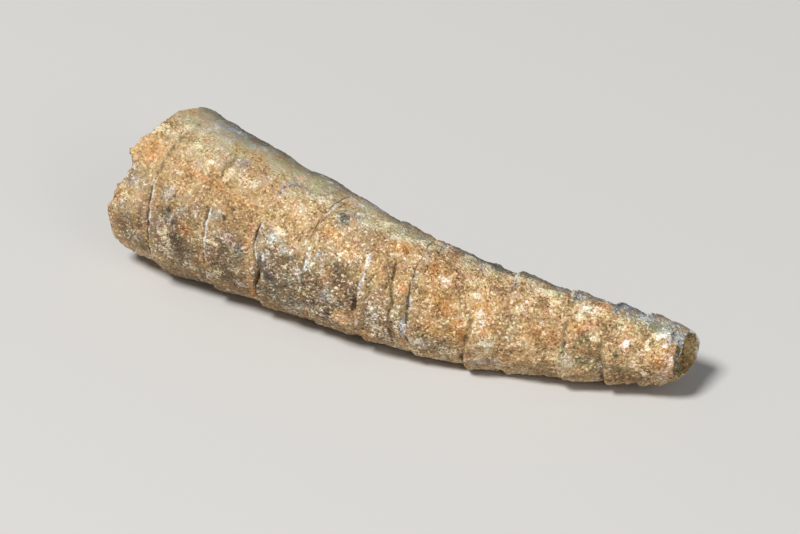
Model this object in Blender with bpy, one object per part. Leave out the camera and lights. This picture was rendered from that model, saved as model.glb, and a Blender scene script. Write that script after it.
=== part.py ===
"""Fossil orthoceras: the internal mould of a slender chambered shell, lying on its side.

The mould is one piece of brown limestone. It is turned as a straight stack of nested chambers,
then weathered, and then bent along its spine. The wide end is a rough break with a dished
septum, and the narrow end is a dish with a worn rim. Units are metres, +Z is up, +X runs
from the wide end to the narrow end, and the origin is under the middle of the bounding box.

Places on the side are given as a station, which is the distance along the spine from the wide
end, and as an angle round it, from +Z towards -Y.
"""

import math

import bmesh
import bpy
import numpy as np
from mathutils import Vector, noise

MM = 0.001

# Driving dimensions
LENGTH = 58.6 * MM  # along the spine
SIDES = 48  # facets round the mould

# The mean radius of the mould, which tapers faster from the middle on
RADIUS_AT = np.array([0.0, 10.0, 16.0, 28.0, 42.0, 56.0, 57.8, 58.6]) * MM
RADIUS = np.array([8.05, 7.55, 6.8, 5.87, 4.62, 3.05, 2.8, 2.6]) * MM

# The spine is nearly straight in two runs, with a bend a little past the middle
HEADING_AT = np.array([0.0, 11.0, 25.0, 33.0, 58.6]) * MM
HEADING = np.radians([-13.0, -8.1, -5.2, 6.6, 10.0])

# How far the underside clears the table: below zero, it is worn flat there
LIFT_AT = np.array([0.0, 7.0, 14.0, 20.0, 26.0, 33.0, 39.0, 45.0, 51.0, 58.6]) * MM
LIFT = np.array([0.0, -0.2, 0.15, 0.35, 0.25, 0.15, -0.2, 0.05, 0.75, 1.85]) * MM

# Sutures: the station of each, how far the next chamber's edge stands out there, the angles
# between which the crust hides it, and the share of it that is hidden
SUTURES = [
    (5.5 * MM, 0.35 * MM, -70, 50, 0.50),
    (11.65 * MM, 0.50 * MM, -70, 50, 0.65),
    (17.05 * MM, 0.42 * MM, -70, 46, 0.75),
    (22.55 * MM, 0.30 * MM, -150, 50, 0.50),
    (28.0 * MM, 0.30 * MM, -28, 32, 0.80),
    (32.5 * MM, 0.26 * MM, -130, 130, 0.65),
    (37.8 * MM, 0.60 * MM, -45, 80, 0.90),
    (41.4 * MM, 0.26 * MM, 0, 150, 0.75),
    (47.1 * MM, 0.32 * MM, -10, 75, 0.85),
    (51.35 * MM, 0.45 * MM, -10, 70, 0.80),
    (54.45 * MM, 0.30 * MM, -15, 145, 0.80),
]
GROOVE_WIDTH = 0.30 * MM  # the crease in front of each suture
GROOVE_DEPTH = 0.14 * MM
EDGE_WIDTH = 0.14 * MM  # the stretch over which a chamber's edge steps up
SHOULDER = 0.45 * MM  # the blunt top of that edge
RING_SPACING = 1.3 * MM  # between sutures
LATERAL_LOBE = 0.1 * MM  # sutures bow towards the narrow end on both flanks
SUTURE_WANDER = 0.35 * MM

# Three sutures also bow towards the narrow end on the near flank: the station of each, how far,
# the angle of the furthest point, and the degrees over which the bow fades
NEAR_LOBES = [
    (11.65 * MM, 0.4 * MM, 88, 24),
    (17.05 * MM, 1.0 * MM, 90, 14),
    (37.8 * MM, 1.0 * MM, 68, 30),
]
LOBE_REACH = 5.0 * MM  # how far along the mould a bow fades out

CRUST_EDGE = 12  # degrees over which a suture fades under the crust
EDGE_CHIPPED = 0.5  # how unevenly the chambers' edges have worn

# Broad swellings and smaller lumps: size across, and height
SWELL_SIZE, SWELL_HEIGHT = 9.0 * MM, 0.30 * MM
LUMP_SIZE, LUMP_HEIGHT = 2.8 * MM, 0.15 * MM

# Hollows where flakes have come away: station, angle, size across, depth
HOLLOWS = [
    (12.2 * MM, math.radians(52), 1.8 * MM, 0.50 * MM),
    (36.6 * MM, math.radians(104), 2.6 * MM, 0.55 * MM),
    (22.6 * MM, math.radians(112), 2.2 * MM, 0.35 * MM),
    (49.0 * MM, math.radians(88), 2.4 * MM, 0.35 * MM),
    (33.5 * MM, math.radians(-70), 3.0 * MM, 0.50 * MM),
    (14.0 * MM, math.radians(-95), 3.4 * MM, 0.50 * MM),
]

# The wide end: a rough break near a septum, dished, with the stub of the siphuncle at its middle.
# Its rim is broken back further on the upper side, with a notch on the near flank.
BREAK_ANGLE = np.radians([-180, -120, -60, -20, 10, 40, 52, 70, 90, 120, 150, 180])
BREAK_BACK = np.array([0.3, 1.2, 2.4, 2.8, 2.2, 1.5, 2.2, 1.6, 0.8, 0.2, 0.0, 0.2]) * MM
BREAK_MEAN = 1.1 * MM
BREAK_REACH = 4.0 * MM  # how far along the side the uneven rim has an effect
BREAK_DISH = 1.5 * MM
BREAK_ROUGHNESS = 0.35 * MM
SIPHUNCLE_RADIUS = 0.75 * MM
SIPHUNCLE_DEPTH = 0.6 * MM

# The narrow end: a deep dish inside a broken rim, which reaches furthest on the far side
TIP_DISH = 2.4 * MM
TIP_RIM = 0.35 * MM
TIP_ANGLE = np.radians([-180, -130, -90, -60, -30, 0, 60, 120, 150, 180])
TIP_FORWARD = np.array([-0.1, 0.75, 0.85, 0.55, 0.35, 0.1, -0.05, 0.1, 0.0, -0.1]) * MM
TIP_MEAN = 0.1 * MM
TIP_REACH = 2.0 * MM  # how far along the side the uneven rim has an effect

# On the near side that rim is thick, so the dish is narrower, and its outer edge is bevelled
RIM_FROM, RIM_TO = 10, 158  # degrees
RIM_FADE = 18
RIM_THICK = 0.24
RIM_BEVEL = 0.5 * MM

STONE_COLOUR = (0.42, 0.27, 0.13, 1.0)
STONE_ROUGHNESS = 0.85
MERGE_WITHIN = 0.001 * MM


def base_radius(station):
    return float(np.interp(station, RADIUS_AT, RADIUS))


def ledge(station):
    """How far the stepped surface stands from the mean cone: up at a suture, then tapering off."""
    starts = [row[0] for row in SUTURES] + [LENGTH]
    height = 0.0
    for index, (start, step, _, _, _) in enumerate(SUTURES):
        if start - GROOVE_WIDTH <= station < start:
            height = -GROOVE_DEPTH * (1 - abs(start - station) / GROOVE_WIDTH)
        elif start <= station < starts[index + 1] - GROOVE_WIDTH:
            run = (station - start) / (starts[index + 1] - start)
            height = step * (1 - run)
    return height


def side_profile():
    """Stations and radii of the mould's side, from the broken rim to the narrow rim."""
    stations = []
    bounds = [0.0] + [row[0] for row in SUTURES] + [LENGTH - TIP_RIM]
    for index in range(len(bounds) - 1):
        start, end = bounds[index], bounds[index + 1]
        first = start + SHOULDER
        last = end - GROOVE_WIDTH if index + 2 < len(bounds) else end
        if index:
            stations += [start - EDGE_WIDTH / 2, start + EDGE_WIDTH / 2]
        count = max(2, round((last - first) / RING_SPACING) + 1)
        stations += list(np.linspace(first, last, count))
    return [(station, base_radius(station) + ledge(station)) for station in stations]


def profile():
    """The outline that is turned: wide end's centre, rim, side, narrow rim, dish's centre."""
    rim = base_radius(0.0)
    floor = rim - SHOULDER
    points = [
        (BREAK_DISH + SIPHUNCLE_DEPTH, 0.0),
        (BREAK_DISH + SIPHUNCLE_DEPTH, 0.6 * SIPHUNCLE_RADIUS),
        (BREAK_DISH, SIPHUNCLE_RADIUS),
    ]
    for share in (0.3, 0.48, 0.66, 0.82, 0.93):
        points.append((BREAK_DISH * (1 - share**2), share * floor))
    points += [(0.0, floor), (SHOULDER * 0.3, rim - 0.25 * SHOULDER)]
    points += side_profile()
    end = base_radius(LENGTH)
    points += [(LENGTH - 0.1 * TIP_RIM, end), (LENGTH, 0.95 * end)]
    for share in (0.88, 0.74, 0.52, 0.28):
        points.append((LENGTH - TIP_DISH * (1 - share**3), share * end))
    points.append((LENGTH - TIP_DISH, 0.0))
    return points


def turn(points):
    """A closed body of revolution round the X axis."""
    body = bmesh.new()
    verts = [body.verts.new((station, 0.0, radius)) for station, radius in points]
    edges = [body.edges.new(pair) for pair in zip(verts, verts[1:])]
    bmesh.ops.spin(
        body,
        geom=verts + edges,
        cent=(0.0, 0.0, 0.0),
        axis=(1.0, 0.0, 0.0),
        steps=SIDES,
        angle=2 * math.pi,
        use_merge=True,
    )
    bmesh.ops.remove_doubles(body, verts=body.verts, dist=MERGE_WITHIN)
    return body


def rough(place, size):
    """Smooth noise from -1 to 1 with features of about this size."""
    return noise.noise(place / size)


def rise(value, low, high):
    """0 below low, 1 above high, and a smooth rise between them."""
    share = min(1.0, max(0.0, (value - low) / (high - low)))
    return share * share * (3 - 2 * share)


def crusted(station, angle):
    """The share of the suture at the start of this chamber that the crust hides, from 0 to 1."""
    first, last, share = SUTURES[0][2:]
    for start, _, *row in SUTURES:
        if station >= start - GROOVE_WIDTH:
            first, last, share = row
    degrees = math.degrees(angle)
    covered = rise(degrees, first - CRUST_EDGE, first)
    return share * covered * (1 - rise(degrees, last - CRUST_EDGE, last))


def hollowed(station, angle):
    """The depth of the hollows at a place on the side."""
    depth = 0.0
    for middle, around, size, deepest in HOLLOWS:
        across = base_radius(middle) * math.remainder(angle - around, 2 * math.pi)
        away = math.hypot(station - middle, across) / (size / 2)
        depth += deepest * math.exp(-(away**2))
    return depth


def bowed(station, angle):
    """How far the sutures bow towards the narrow end at a place on the side."""
    bow = -LATERAL_LOBE * math.cos(2 * angle)
    for start, furthest, around, spread in NEAR_LOBES:
        near = max(0.0, 1 - abs(station - start) / LOBE_REACH)
        bow += near * furthest * math.exp(-(((math.degrees(angle) - around) / spread) ** 2))
    return bow


def rim_thick(angle):
    """1 where the narrow end's rim is thick, and 0 where it is thin."""
    degrees = math.degrees(angle)
    begun = rise(degrees, RIM_FROM - RIM_FADE, RIM_FROM + RIM_FADE)
    return begun * (1 - rise(degrees, RIM_TO - RIM_FADE, RIM_TO + RIM_FADE))


def weather(place):
    """Moves a point of the turned body: fades and bows the sutures, and adds the lumps."""
    station = place.x
    radius = math.hypot(place.y, place.z)
    if radius < MERGE_WITHIN:
        return place.copy()
    angle = math.atan2(-place.y, place.z)
    share = radius / base_radius(min(station, LENGTH))
    side = max(0.0, (min(1.0, share) - 0.8) / 0.2)

    fade = 1 - crusted(station, angle)
    fade *= 1 + EDGE_CHIPPED * rough(place + Vector((0.5, 0.0, 0.0)), 4 * MM)
    swell = SWELL_HEIGHT * rough(place, SWELL_SIZE) + LUMP_HEIGHT * rough(place, LUMP_SIZE)
    radius += side * (ledge(station) * (fade - 1) + swell - hollowed(station, angle))

    bow = bowed(station, angle) + SUTURE_WANDER * rough(place, 6 * MM)
    broken = max(0.0, 1 - station / BREAK_REACH)
    outward = min(1.0, radius / RADIUS[0])
    torn = outward * float(np.interp(angle, BREAK_ANGLE, BREAK_BACK)) + (1 - outward) * BREAK_MEAN
    torn += BREAK_ROUGHNESS * rough(place + Vector((0.0, 0.0, 0.3)), 2.2 * MM)

    outward = min(1.0, radius / RADIUS[-1])
    chipped = outward * float(np.interp(angle, TIP_ANGLE, TIP_FORWARD)) + (1 - outward) * TIP_MEAN
    chipped -= RIM_BEVEL * rim_thick(angle) * rise(share, 0.95, 1.0)
    at_tip = max(0.0, 1 - (LENGTH - station) / TIP_REACH)
    if station > LENGTH - TIP_DISH:
        radius *= 1 - RIM_THICK * rim_thick(angle) * rise(1 - share, 0.0, 0.05)

    station += side * bow * (1 - broken) + broken * torn + at_tip * chipped
    return Vector((station, -radius * math.sin(angle), radius * math.cos(angle)))


def spine_table():
    """Stations, points and headings of the spine, in small equal steps."""
    stations = np.linspace(-2 * MM, LENGTH + 2 * MM, 400)
    step = stations[1] - stations[0]
    heading = np.interp(stations, HEADING_AT, HEADING)
    height = np.interp(stations, RADIUS_AT, RADIUS) + np.interp(stations, LIFT_AT, LIFT)
    along = np.cumsum(np.cos(heading)) * step
    across = np.cumsum(np.sin(heading)) * step
    return stations, along, across, height, heading


def bend(place, table):
    """Carries a point of the straight body onto the spine."""
    stations, along, across, height, heading = table
    x, y, z, turn_by = (
        float(np.interp(place.x, stations, column)) for column in (along, across, height, heading)
    )
    return Vector((x - math.sin(turn_by) * place.y, y + math.cos(turn_by) * place.y, z + place.z))


def wear_flat(body):
    """Cuts off what lies below the table, where the mould is worn flat."""
    bmesh.ops.bisect_plane(
        body,
        geom=body.verts[:] + body.edges[:] + body.faces[:],
        dist=MERGE_WITHIN,
        plane_co=(0.0, 0.0, 0.0),
        plane_no=(0.0, 0.0, -1.0),
        clear_outer=True,
    )
    open_edges = [edge for edge in body.edges if edge.is_boundary]
    bmesh.ops.holes_fill(body, edges=open_edges, sides=0)


def centre(body):
    """Puts the middle of the bounding box over the origin, in X and Y."""
    places = np.array([vert.co for vert in body.verts])
    middle = (places.min(axis=0) + places.max(axis=0)) / 2
    bmesh.ops.translate(body, vec=(-middle[0], -middle[1], 0.0), verts=body.verts)


def stone():
    material = bpy.data.materials.new("brown_limestone")
    material.use_nodes = True
    shader = material.node_tree.nodes["Principled BSDF"]
    shader.inputs["Base Color"].default_value = STONE_COLOUR
    shader.inputs["Roughness"].default_value = STONE_ROUGHNESS
    shader.inputs["Metallic"].default_value = 0.0
    return material


def mould():
    body = turn(profile())
    table = spine_table()
    for vert in body.verts:
        vert.co = bend(weather(vert.co), table)
    wear_flat(body)
    centre(body)
    bmesh.ops.recalc_face_normals(body, faces=body.faces)
    mesh = bpy.data.meshes.new("orthoceras")
    body.to_mesh(mesh)
    body.free()
    mesh.shade_smooth()
    mesh.set_sharp_from_angle(angle=math.radians(35))
    mesh.materials.append(stone())
    piece = bpy.data.objects.new("orthoceras", mesh)
    bpy.context.scene.collection.objects.link(piece)
    return piece


def main():
    for old in list(bpy.data.objects):
        bpy.data.objects.remove(old)
    mould()


main()
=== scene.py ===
"""Looks of the fossil orthoceras: one fine mesh of the mould, its limestone, and a plain studio.

The mould is modelled straight, as a stack of nested chambers, then weathered and cracked, and then
bent along its spine. Places on its side are given as a station, the distance along the spine from
the wide end, and as an angle round it, from +Z towards -Y. A share is a point's distance from the
axis over the mould's mean radius there. Units are metres.
"""

import math

import bpy
import numpy as np
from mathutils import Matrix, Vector, noise


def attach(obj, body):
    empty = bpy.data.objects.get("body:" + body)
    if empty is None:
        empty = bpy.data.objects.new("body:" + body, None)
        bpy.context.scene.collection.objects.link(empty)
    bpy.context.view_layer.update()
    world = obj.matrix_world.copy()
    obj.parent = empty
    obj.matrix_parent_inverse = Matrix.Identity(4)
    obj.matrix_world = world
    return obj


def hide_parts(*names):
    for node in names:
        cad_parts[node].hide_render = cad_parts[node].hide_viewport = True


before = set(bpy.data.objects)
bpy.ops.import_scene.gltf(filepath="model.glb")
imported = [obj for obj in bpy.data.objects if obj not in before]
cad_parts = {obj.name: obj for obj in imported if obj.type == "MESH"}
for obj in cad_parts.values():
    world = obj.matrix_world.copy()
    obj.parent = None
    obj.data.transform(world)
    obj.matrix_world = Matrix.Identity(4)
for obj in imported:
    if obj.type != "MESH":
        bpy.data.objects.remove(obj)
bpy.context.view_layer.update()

MM = 0.001

# The mould's own form. It is as in the solid, apart from the narrow rim's low corner.
LENGTH = 58.6 * MM  # along the spine
RADIUS_AT = np.array([0.0, 10.0, 16.0, 28.0, 42.0, 56.0, 57.8, 58.6]) * MM
RADIUS = np.array([8.05, 7.55, 6.8, 5.87, 4.62, 3.05, 2.8, 2.6]) * MM
HEADING_AT = np.array([0.0, 11.0, 25.0, 33.0, 58.6]) * MM
HEADING = np.radians([-13.0, -8.1, -5.2, 6.6, 10.0])
# How far the underside clears the table: below zero, it is worn flat there
LIFT_AT = np.array([0.0, 7.0, 14.0, 20.0, 26.0, 33.0, 39.0, 45.0, 51.0, 58.6]) * MM
LIFT = np.array([0.0, -0.2, 0.15, 0.35, 0.25, 0.15, -0.2, 0.05, 0.75, 1.85]) * MM

# Sutures: station and step in mm, from which angle to which the crust hides it, and how much
SUTURES = [
    (5.5, 0.35, -70, 50, 0.5),
    (11.65, 0.5, -70, 50, 0.65),
    (17.05, 0.42, -70, 46, 0.75),
    (22.55, 0.3, -150, 50, 0.5),
    (28, 0.3, -28, 32, 0.8),
    (32.5, 0.26, -130, 130, 0.65),
    (37.8, 0.6, -45, 80, 0.9),
    (41.4, 0.26, 0, 150, 0.75),
    (47.1, 0.32, -10, 75, 0.85),
    (51.35, 0.45, -10, 70, 0.8),
    (54.45, 0.3, -15, 145, 0.8),
]
GROOVE_WIDTH = 0.30 * MM  # the crease in front of each suture
GROOVE_DEPTH = 0.14 * MM
EDGE_WIDTH = 0.14 * MM  # the stretch over which a chamber's edge steps up
SHOULDER = 0.45 * MM  # the blunt top of that edge
RING_SPACING = 0.9 * MM  # between sutures
CRUST_EDGE = 12  # degrees over which a suture fades under the crust
CHIP_SIZE, EDGE_CHIPPED = 4.0 * MM, 0.5  # how unevenly the chambers' edges have worn

# Sutures bow towards the narrow end on both flanks, and wander
LATERAL_LOBE = 0.1 * MM
WANDER_SIZE, SUTURE_WANDER = 6.0 * MM, 0.35 * MM
# Three bow further on the near flank: the station of each, how far, the angle of the furthest
# point, and the degrees over which the bow fades
NEAR_LOBES = [
    (11.65 * MM, 0.4 * MM, 88, 24),
    (17.05 * MM, 1.0 * MM, 90, 14),
    (37.8 * MM, 1.0 * MM, 68, 30),
]
LOBE_REACH = 5.0 * MM  # how far along the mould such a bow fades out
BOW_LOST = 0.7  # how much less the edges bow and wander at the narrow rim

SWELL_SIZE, SWELL_HEIGHT = 9.0 * MM, 0.30 * MM
LUMP_SIZE, LUMP_HEIGHT = 2.8 * MM, 0.15 * MM

# The wide end: a rough break with a dished septum, and the stub of the siphuncle at its middle
BREAK_ANGLE = np.radians([-180, -120, -60, -20, 10, 40, 52, 70, 90, 120, 150, 180])
BREAK_BACK = np.array([0.3, 1.2, 2.4, 2.8, 2.2, 1.5, 2.2, 1.6, 0.8, 0.2, 0.0, 0.2]) * MM
BREAK_MEAN = 1.1 * MM
BREAK_REACH = 4.0 * MM  # how far along the side the uneven rim has an effect
BREAK_DISH = 1.5 * MM
BREAK_ROUGH_SIZE, BREAK_ROUGHNESS = 2.2 * MM, 0.35 * MM
SIPHUNCLE_RADIUS = 0.75 * MM
SIPHUNCLE_DEPTH = 0.6 * MM
BORE_RADIUS = 0.6 * SIPHUNCLE_RADIUS  # at the bottom of the stub
BREAK_TO = 1.2 * (BREAK_DISH + SIPHUNCLE_DEPTH)  # the broken face lies before this station

# The narrow end: a deep dish inside a broken rim, which reaches furthest on the far side. Its low
# corner is worn a little further back than in the solid.
TIP_DISH = 2.4 * MM
TIP_RIM = 0.35 * MM
TIP_ANGLE = np.radians([-180, -130, -90, -60, -30, 0, 60, 120, 150, 180])
TIP_FORWARD = np.array([-0.2, 0.75, 0.85, 0.55, 0.35, 0.1, -0.05, 0.0, -0.35, -0.2]) * MM
TIP_MEAN = 0.1 * MM
TIP_REACH = 2.0 * MM  # how far along the side the uneven rim has an effect
TIP_FROM = LENGTH - 1.2 * TIP_DISH  # the dish and its rim lie past this station
TIP_CALM_FROM, TIP_CALM_TO = LENGTH - 1.6 * MM, LENGTH - 0.4 * MM  # where the side gets calmer
RIM_THICK = 0.24  # how much narrower the dish is where its rim is thick, from above to below
RIM_FROM, RIM_TO = 10, 158  # the angles between which it is thick
RIM_FADE = 18
RIM_BEVEL = 0.5 * MM  # how far the thick rim is broken back at its outer edge
RIM_WIDTH = 0.05  # the share of the radius within which the rim is shaped

# Shares of the radius at which the end faces have rings, and for the rounded rim how far back each
# ring is, as a share of TIP_RIM, and its share of the radius
BREAK_RINGS = (0.22, 0.35, 0.48, 0.61, 0.74, 0.85, 0.94)
DISH_RINGS = (0.88, 0.8, 0.68, 0.55, 0.4, 0.2)
RIM_RINGS = ((0.1, 1.0), (0.03, 0.975), (0.0, 0.95), (0.2, 0.925))

# The end faces lie within the one share of the radius, and the side beyond the other
FACE_SHARE, SIDE_SHARE = 0.80, 0.95
ON_AXIS = 0.01 * MM  # nearer to the axis than this, a point has no angle

# Hollows where flakes have come away: station mm, angle, size mm, depth mm
HOLLOWS = [
    (12.2, 52, 1.8, 0.5),
    (36.6, 104, 2.6, 0.55),
    (22.6, 112, 2.2, 0.35),
    (49, 88, 2.4, 0.35),
    (33.5, -70, 3, 0.5),
    (14, -95, 3.4, 0.5),
]

# Finer than the solid: sides and smoothing of the mesh, and relief as size across and height
SIDES = 56
SMOOTHING = 2
KNOB_SIZE, KNOB_HEIGHT = 1.2 * MM, 0.13 * MM
GRIT_SIZE, GRIT_HEIGHT = 0.55 * MM, 0.09 * MM
PIT_SIZE, PIT_DEPTH = 0.8 * MM, 0.30 * MM
PIT_LEVEL = 0.30  # the higher, the fewer pits
FLAKE_SIZE, FLAKE_HEIGHT = 2.6 * MM, 0.13 * MM
FLAKE_STEPS = 3.0
FLAKE_EDGE = 0.72  # the share of a flake at which its steep edge begins
RAGGED_SIZE, RAGGED = 0.8 * MM, 0.13 * MM  # how frayed the chambers' edges are
CRACK_WANDER_SIZE, CRACK_WANDER = 1.4 * MM, 0.2 * MM
BREAK_CRAG, CRAG_SHARE = 1.6, 0.97  # how much rougher the broken face is, within which share
SIPHUNCLE_WALL, SIPHUNCLE_WALL_HEIGHT = 0.30 * MM, 0.20 * MM
RIM_LUMP_SIZE, RIM_LUMP = 0.7 * MM, 0.22 * MM
RIM_LUMP_SHARE = 0.93  # beyond this share of the radius the thick rim is lumpy
TIP_CALM = 0.65  # how much smoother the narrow end is than the side
FILM_CALM = 0.5  # how much smoother the stone is under the film

# The film begins between two angles and covers the far side. It thins over the middle stations.
FILM_FROM, FILM_TO = 14, -16
FILM_THINS = 0.6
MIDDLE = (26 * MM, 34 * MM)
LINE_FADE = 6  # degrees over which a line fades out at each end

# Small dents and chips: station mm, angle, length mm, width mm, depth mm
DENTS = [
    (7.8, 72, 0.7, 2.6, 0.2),
    (13.1, 57, 0.7, 0.9, 0.3),
    (17.9, 88, 0.7, 1.4, 0.4),
    (11, 86, 1.2, 1.6, 0.15),
    (9.2, 33, 0.5, 0.5, 0.15),
    (27.8, 86, 0.45, 1.6, 0.45),
    (22.9, 106, 1.6, 1.6, 0.2),
    (24.3, 12, 0.9, 1, 0.06),
    (33.7, -1, 0.5, 0.8, 0.15),
    (42.6, 93, 0.5, 0.6, 0.15),
    (47.6, 52, 0.6, 1.8, 0.12),
    (51.2, 125, 0.5, 2.4, 0.25),
    (20, -140, 2, 1.6, 0.25),
    (39, -120, 1.6, 2.4, 0.25),
    (8, 165, 2, 2.2, 0.2),
]

# Cracks: angles, station mm at each, width mm, depth mm
CRACKS = [
    ((30, 44, 56, 68, 80, 96, 116, 134), (30.5, 30.7, 30.8, 31.1, 30.95, 31.05, 31.1, 30.9), 0.3, 0.28),
    ((46, 66, 76, 84, 90, 100, 112, 124), (17, 17, 17.3, 17.9, 18, 17.6, 17.15, 16.9), 0.26, 0.42),
    ((-110, -60), (45.3, 45.2), 0.2, 0.15),
    ((-150, -95), (24, 23.8), 0.2, 0.2),
]

# Pale crests on the chambers' edges, white calcite with a painted highlight where the edge catches the
# light, and dark creases before them, painted shade in the grooves: the suture's number, width mm,
# strength, and the angles between which they show
CRESTS = [
    (0, 0.24, 1.3, 50, 84),
    (0, 0.22, 0.95, 84, 122),
    (1, 0.32, 1.5, 50, 96),
    (1, 0.28, 1.05, 96, 124),
    (2, 0.36, 1.3, 46, 76),
    (2, 0.4, 0.8, 6, 20),
    (3, 0.36, 1, 46, 74),
    (3, 0.3, 0.8, -20, 38),
    (4, 0.5, 1.6, 31, 48),
    (4, 0.3, 1.2, 48, 72),
    (4, 0.3, 0.9, 86, 112),
    (5, 0.22, 0.8, 56, 108),
    (7, 0.36, 0.9, -60, 15),
    (8, 0.36, 0.7, -60, 5),
    (9, 0.36, 0.7, -60, 0),
    (10, 0.3, 0.7, -60, -18),
    (2, 0.36, 0.9, -170, -110),
    (4, 0.36, 1, -150, -80),
    (8, 0.36, 0.8, -170, -110),
]
CREASE_SHADES = [
    (0, 0.8, 0.6, -10, 52),
    (0, 0.5, 0.9, 52, 140),
    (1, 0.8, 0.5, 0, 50),
    (1, 0.45, 0.95, 54, 140),
    (2, 0.6, 0.4, 10, 46),
    (2, 0.4, 0.9, 50, 80),
    (2, 0.4, 0.6, 100, 140),
    (3, 0.28, 0.75, -24, 44),
    (3, 0.36, 0.7, 58, 74),
    (4, 0.4, 0.8, 56, 92),
    (5, 0.26, 0.75, -24, 44),
    (5, 0.3, 0.95, 44, 112),
    (6, 0.6, 0.9, 56, 150),
    (7, 0.36, 0.4, -60, 0),
    (8, 0.36, 0.6, -60, 16),
    (9, 0.36, 0.7, -60, 30),
    (9, 0.36, 0.8, 112, 150),
    (1, 0.36, 0.8, -170, -90),
    (5, 0.36, 0.8, -170, -90),
]


def hex_colour(code):
    """An sRGB hex code as linear red, green, blue and alpha."""
    values = [int(code[i : i + 2], 16) / 255 for i in (0, 2, 4)]
    linear = [v / 12.92 if v <= 0.04045 else ((v + 0.055) / 1.055) ** 2.4 for v in values]
    return (*linear, 1.0)


def base_radius(station):
    """The mean radius of the mould."""
    return np.interp(station, RADIUS_AT, RADIUS)


def ledge(station):
    """How far the stepped surface stands from the mean cone: up at a suture, then tapering off."""
    starts = [row[0] * MM for row in SUTURES] + [LENGTH]
    height = np.zeros_like(station)
    for index, row in enumerate(SUTURES):
        start, end = starts[index], starts[index + 1]
        groove = (station >= start - GROOVE_WIDTH) & (station < start)
        height[groove] = -GROOVE_DEPTH * (1 - (start - station[groove]) / GROOVE_WIDTH)
        chamber = (station >= start) & (station < end - GROOVE_WIDTH)
        height[chamber] = row[1] * MM * (1 - (station[chamber] - start) / (end - start))
    return height


def side_profile():
    """Stations and radii of the mould's side, from the broken rim to the narrow rim."""
    stations = []
    bounds = [0.0] + [row[0] * MM for row in SUTURES] + [LENGTH - TIP_RIM]
    for index in range(len(bounds) - 1):
        start, end = bounds[index], bounds[index + 1]
        first = start + SHOULDER
        last = end - GROOVE_WIDTH if index + 2 < len(bounds) else end
        if index:
            stations += [start - EDGE_WIDTH / 2, start + EDGE_WIDTH / 2]
        count = max(2, round((last - first) / RING_SPACING) + 1)
        stations += list(np.linspace(first, last, count))
    stations = np.array(stations)
    return list(zip(stations, base_radius(stations) + ledge(stations)))


def extrude_ring(station, radius, last_station, last_radius):
    """Extrudes the selected end face along +X and brings it to a new radius."""
    bpy.ops.mesh.extrude_region_move(
        TRANSFORM_OT_translate={"value": (station - last_station, 0.0, 0.0)}
    )
    share = radius / last_radius
    bpy.ops.transform.resize(value=(1.0, share, share), center_override=(station, 0.0, 0.0))
    return station, radius


def straight_mould():
    """The unworn mould: a disc at the wide end, extruded ring by ring, with a dish at each end."""
    bpy.ops.object.select_all(action="DESELECT")
    rim = float(base_radius(0.0))
    floor = rim - SHOULDER
    bpy.ops.mesh.primitive_circle_add(
        vertices=SIDES,
        radius=BORE_RADIUS,
        fill_type="NGON",
        location=(BREAK_DISH + SIPHUNCLE_DEPTH, 0.0, 0.0),
        rotation=(0.0, math.pi / 2, 0.0),
    )
    piece = bpy.context.object
    piece.name = "limestone_mould"
    bpy.ops.object.transform_apply(location=True, rotation=True, scale=True)
    rings = [(BREAK_DISH, SIPHUNCLE_RADIUS)]
    for share in BREAK_RINGS:
        rings.append((BREAK_DISH * (1 - share**2), share * floor))
    rings += [(0.0, floor), (SHOULDER * 0.3, rim - 0.25 * SHOULDER)]
    rings += side_profile()
    end = float(base_radius(LENGTH))
    for back, share in RIM_RINGS:
        rings.append((LENGTH - back * TIP_RIM, share * end))
    for share in DISH_RINGS:
        rings.append((LENGTH - TIP_DISH * (1 - share**3), share * end))
    bpy.ops.object.mode_set(mode="EDIT")
    bpy.ops.mesh.select_all(action="SELECT")
    last = (BREAK_DISH + SIPHUNCLE_DEPTH, BORE_RADIUS)
    for station, radius in rings:
        last = extrude_ring(float(station), float(radius), *last)
    bpy.ops.mesh.select_all(action="SELECT")
    bpy.ops.mesh.normals_make_consistent(inside=False)
    bpy.ops.object.mode_set(mode="OBJECT")
    smooth = piece.modifiers.new("smooth", "SUBSURF")
    smooth.levels = smooth.render_levels = SMOOTHING
    bpy.ops.object.modifier_apply(modifier="smooth")
    return piece


def rough(places, size, offset=(0.0, 0.0, 0.0)):
    """Smooth noise from -1 to 1 with features of about this size, at every place."""
    spots = (places + np.array(offset)) / size
    return np.array([noise.noise(spot) for spot in spots])


def between(value, low, high):
    """0 at low and 1 at high, with a smooth rise between them and no change beyond."""
    share = np.clip((value - low) / (high - low), 0, 1)
    return share * share * (3 - 2 * share)


def patch(station, angle, middle, around, along, across):
    """1 at the middle of an oval patch, fading out over its size. Its middle and sizes are in mm."""
    turn = np.remainder(angle - np.radians(around) + math.pi, 2 * math.pi) - math.pi
    forth = (station - middle * MM) / (along * MM / 2)
    aside = base_radius(middle * MM) * turn / (across * MM / 2)
    return np.exp(-(forth**2 + aside**2))


def turned(angle, first, last):
    """1 between two angles round the mould, given in degrees, and 0 beyond them."""
    degrees = np.degrees(angle)
    begun = between(degrees, first - LINE_FADE, first + LINE_FADE)
    return begun * (1 - between(degrees, last - LINE_FADE, last + LINE_FADE))


def line(station, angle, middle, width, first, last):
    """1 along a line round the mould between two angles, fading out over its width."""
    return turned(angle, first, last) * np.exp(-(((station - middle) / width) ** 2))


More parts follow.
